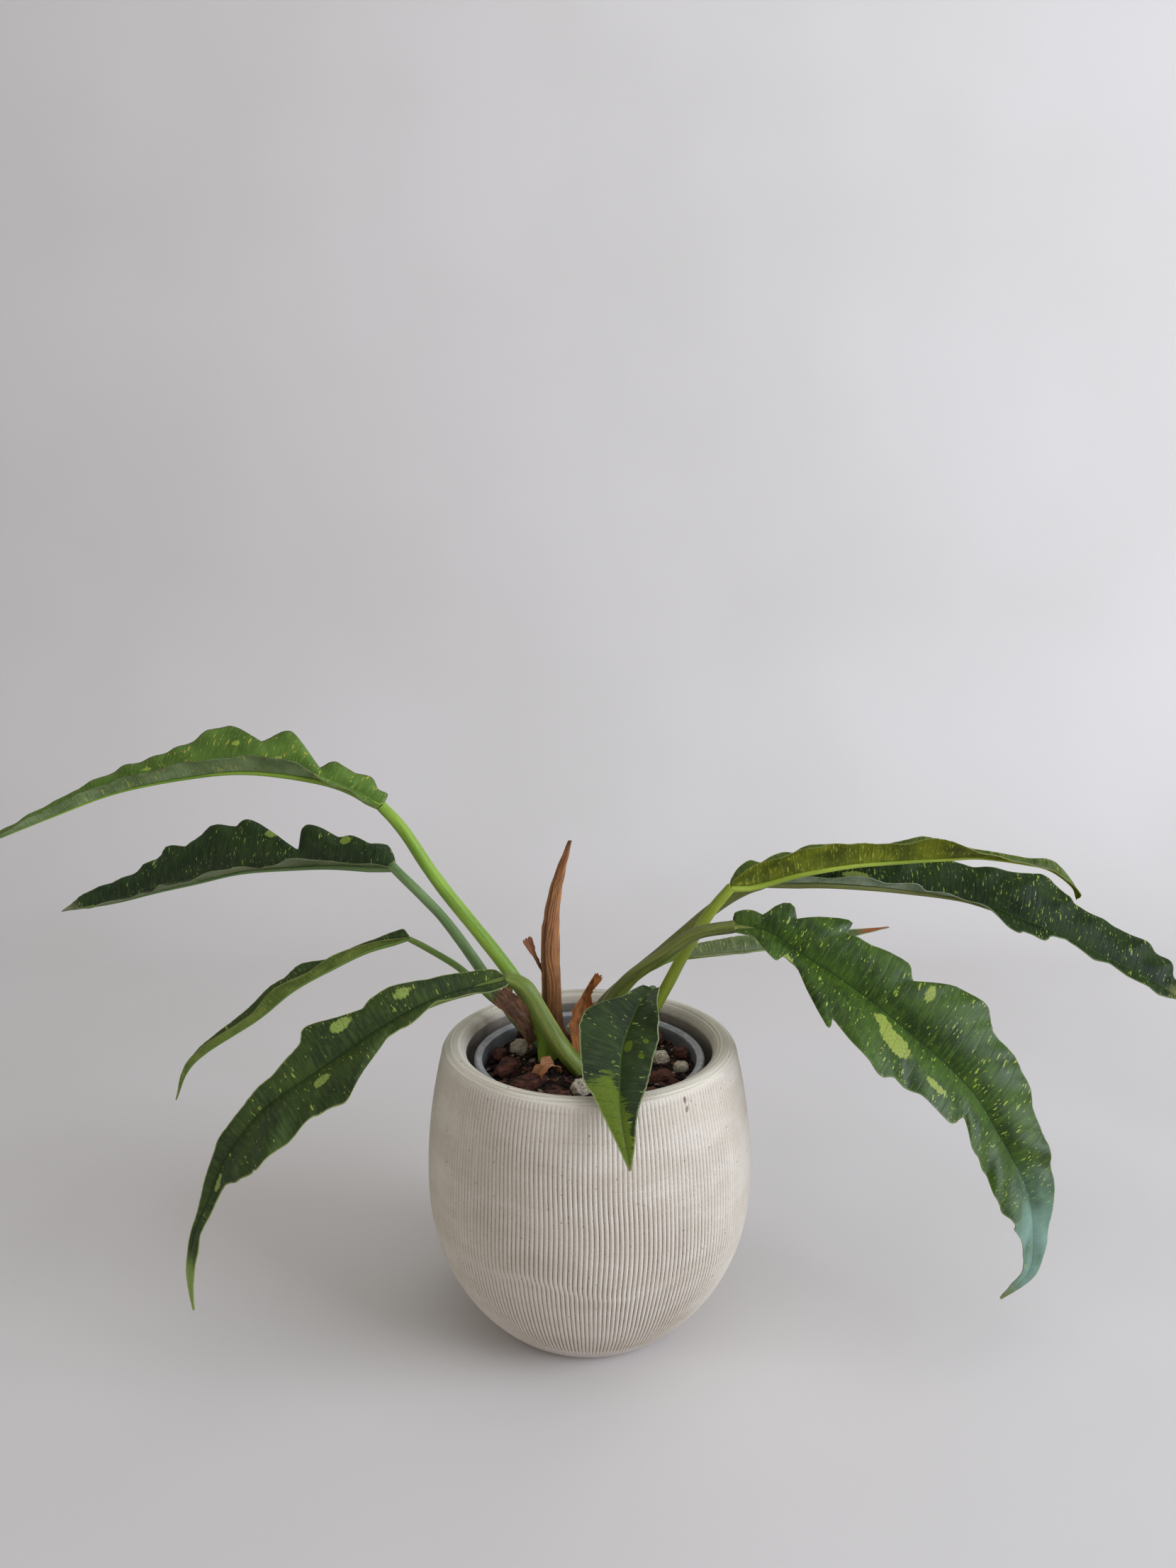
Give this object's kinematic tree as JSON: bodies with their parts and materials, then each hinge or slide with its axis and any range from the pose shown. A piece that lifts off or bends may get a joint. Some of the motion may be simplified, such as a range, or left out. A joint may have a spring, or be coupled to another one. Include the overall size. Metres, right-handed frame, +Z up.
{
  "type": "potted philodendron",
  "caption": "Variegated philodendron with lobed arching leaves, rooted in bark and pumice mix in a grow pot inside a combed barrel-shaped ceramic cachepot.",
  "frame": {"origin": "centre of the outer pot's flat base, on the surface it stands on", "axes": "+Z up, +X to the right as seen from the front, along the leaves' spread, and -Y towards the front"},
  "size_m": [0.6618, 0.1839, 0.3087],
  "materials": {
    "pot_ceramic": "whitewashed, combed, matte",
    "grow_pot_plastic": "moulded, satin",
    "growing_mix": "damp, crumbly",
    "stem": "satin, leaf scars",
    "leaf_stalk": "waxy, finely flecked",
    "leaf_blade": "waxy, lime flecks along the side veins",
    "dried_leaf": "dry, fibrous",
    "bark": "rough, layered",
    "pumice": "pitted, speckled",
    "lava_rock": "rough, porous"
  },
  "bodies": {
    "root": {"outer_pot": "pot_ceramic", "grow_pot": "grow_pot_plastic", "growing_mix": "growing_mix", "stem": "stem", "leaf_back_left_stalk": "leaf_stalk", "leaf_back_left_blade": "leaf_blade", "leaf_middle_left_stalk": "leaf_stalk", "leaf_middle_left_blade": "leaf_blade", "leaf_low_left_stalk": "leaf_stalk", "leaf_low_left_blade": "leaf_blade", "leaf_front_left_stalk": "leaf_stalk", "leaf_front_left_blade": "leaf_blade", "leaf_top_right_stalk": "leaf_stalk", "leaf_top_right_blade": "leaf_blade", "leaf_middle_right_stalk": "leaf_stalk", "leaf_middle_right_blade": "leaf_blade", "leaf_front_right_stalk": "leaf_stalk", "leaf_front_right_blade": "leaf_blade", "leaf_back_right_stalk": "leaf_stalk", "leaf_back_right_blade": "leaf_blade", "leaf_front_stalk": "leaf_stalk", "leaf_front_blade": "leaf_blade", "dried_spike": "dried_leaf", "dried_sheath_left": "dried_leaf", "dried_sheath_right": "dried_leaf", "dried_sheath_tuft": "dried_leaf", "dried_sheath_curl": "dried_leaf", "dried_sheath_scrap": "dried_leaf", "bark_chip_1": "bark", "bark_chip_2": "bark", "bark_chip_3": "bark", "bark_chip_4": "bark", "bark_chip_5": "bark", "bark_chip_6": "bark", "bark_chip_7": "bark", "bark_chip_8": "bark", "bark_chip_9": "bark", "bark_chip_10": "bark", "bark_chip_11": "bark", "bark_chip_12": "bark", "pumice_stone_1": "pumice", "pumice_stone_2": "pumice", "pumice_stone_3": "pumice", "pumice_stone_4": "pumice", "pumice_stone_5": "pumice", "pumice_stone_6": "pumice", "pumice_stone_7": "pumice", "lava_rock_1": "lava_rock", "lava_rock_2": "lava_rock", "lava_rock_3": "lava_rock", "lava_rock_4": "lava_rock", "lava_rock_5": "lava_rock"}
  },
  "joints": []
}
